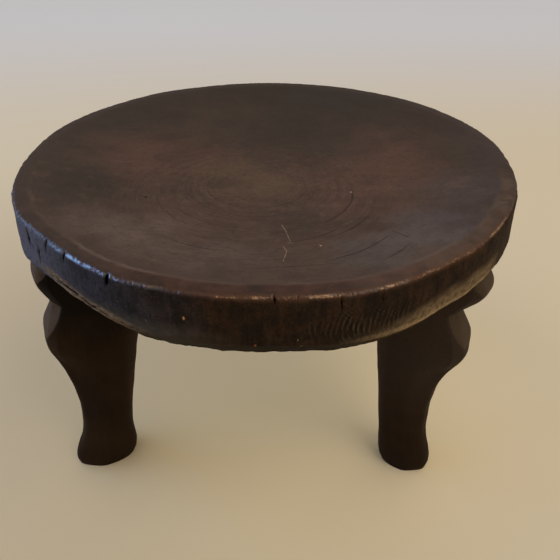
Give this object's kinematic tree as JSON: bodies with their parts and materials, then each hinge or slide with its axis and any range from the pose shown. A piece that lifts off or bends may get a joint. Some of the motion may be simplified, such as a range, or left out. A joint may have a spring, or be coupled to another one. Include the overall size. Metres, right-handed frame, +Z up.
{
  "type": "low carved stool",
  "caption": "Low round hand-carved stool with a dished seat on sturdy notched legs with small flared feet, in dark patinated wood.",
  "frame": {"origin": "on the floor, under the middle of the round seat", "axes": "+Z up; +Y points from the middle of the seat to the back leg, so the front is -Y and +X is to the right"},
  "size_m": [0.3, 0.3, 0.197],
  "materials": {
    "seat_wood": "dark patina, rubbed to a low sheen",
    "leg_wood": "dark patina, matt"
  },
  "bodies": {
    "root": {"seat": "seat_wood", "leg_back": "leg_wood", "leg_left": "leg_wood", "leg_right": "leg_wood"}
  },
  "joints": []
}
